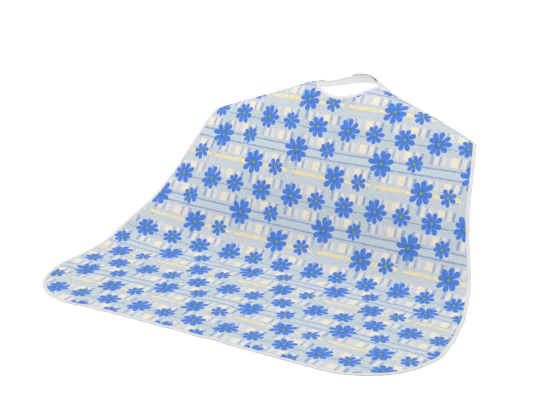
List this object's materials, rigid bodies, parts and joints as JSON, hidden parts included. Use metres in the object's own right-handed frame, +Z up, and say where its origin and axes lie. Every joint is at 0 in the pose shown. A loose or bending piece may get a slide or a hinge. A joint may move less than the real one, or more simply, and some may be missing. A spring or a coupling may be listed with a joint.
{
  "type": "barber cape",
  "caption": "Wide bib-style cape with a floral plaid print, bound edges and a hook-and-loop neck strap; covers chest and shoulders and lies flat across the lap.",
  "frame": {"origin": "underside of the front hem, in the middle of its binding tape and on the cape's plane of symmetry", "axes": "+Z up, -Y the way the wearer faces (hem side), +X the wearer's left"},
  "size_m": [0.928, 0.7316, 0.3717],
  "materials": {
    "printed_cloth": "fine plain-weave polyester, printed with a blue daisy and plaid pattern",
    "waterproof_backing": "smooth coated cloth, matt",
    "binding_tape": "folded bias tape, soft sheen",
    "strap_cloth": "folded woven cloth",
    "thread": "spun polyester thread",
    "hook_tape": "nylon hooks on woven tape",
    "loop_tape": "brushed nylon loop pile",
    "label_ribbon": "satin ribbon, blank"
  },
  "bodies": {
    "bib": {"bib_printed_cloth": "printed_cloth", "bib_waterproof_backing": "waterproof_backing", "side_binding_left": "binding_tape", "side_binding_right": "binding_tape", "side_stitching_left": "thread", "side_stitching_right": "thread", "neckline_binding": "binding_tape", "neckline_stitching": "thread", "care_label": "label_ribbon", "care_label_stitching": "thread"},
    "lap": {"lap_printed_cloth": "printed_cloth", "lap_waterproof_backing": "waterproof_backing", "hem_binding": "binding_tape", "hem_stitching": "thread"},
    "strap_over": {"neck_strap_over": "strap_cloth", "neck_strap_over_stitching": "thread", "hook_tape": "hook_tape", "hook_tape_stitching": "thread"},
    "strap_under": {"neck_strap_under": "strap_cloth", "neck_strap_under_stitching": "thread", "loop_tape": "loop_tape", "loop_tape_stitching": "thread"}
  },
  "joints": [
    {"name": "lap_fold", "type": "hinge", "parent": "bib", "child": "lap", "pos_m": [0, 0.3045, 0.0009], "axis": [-1, 0, 0], "range_deg": [-85, 115]},
    {"name": "strap_over_open", "type": "hinge", "parent": "bib", "child": "strap_over", "pos_m": [0.115, 0.6198, 0.3533], "axis": [0, 0, -1], "range_deg": [0, 65]},
    {"name": "strap_under_open", "type": "hinge", "parent": "bib", "child": "strap_under", "pos_m": [-0.115, 0.6198, 0.3533], "axis": [0, 0, 1], "range_deg": [0, 26]}
  ],
  "couplings": [
    {"joint": "strap_under_open", "follows": "strap_over_open", "ratio": 0.4}
  ]
}
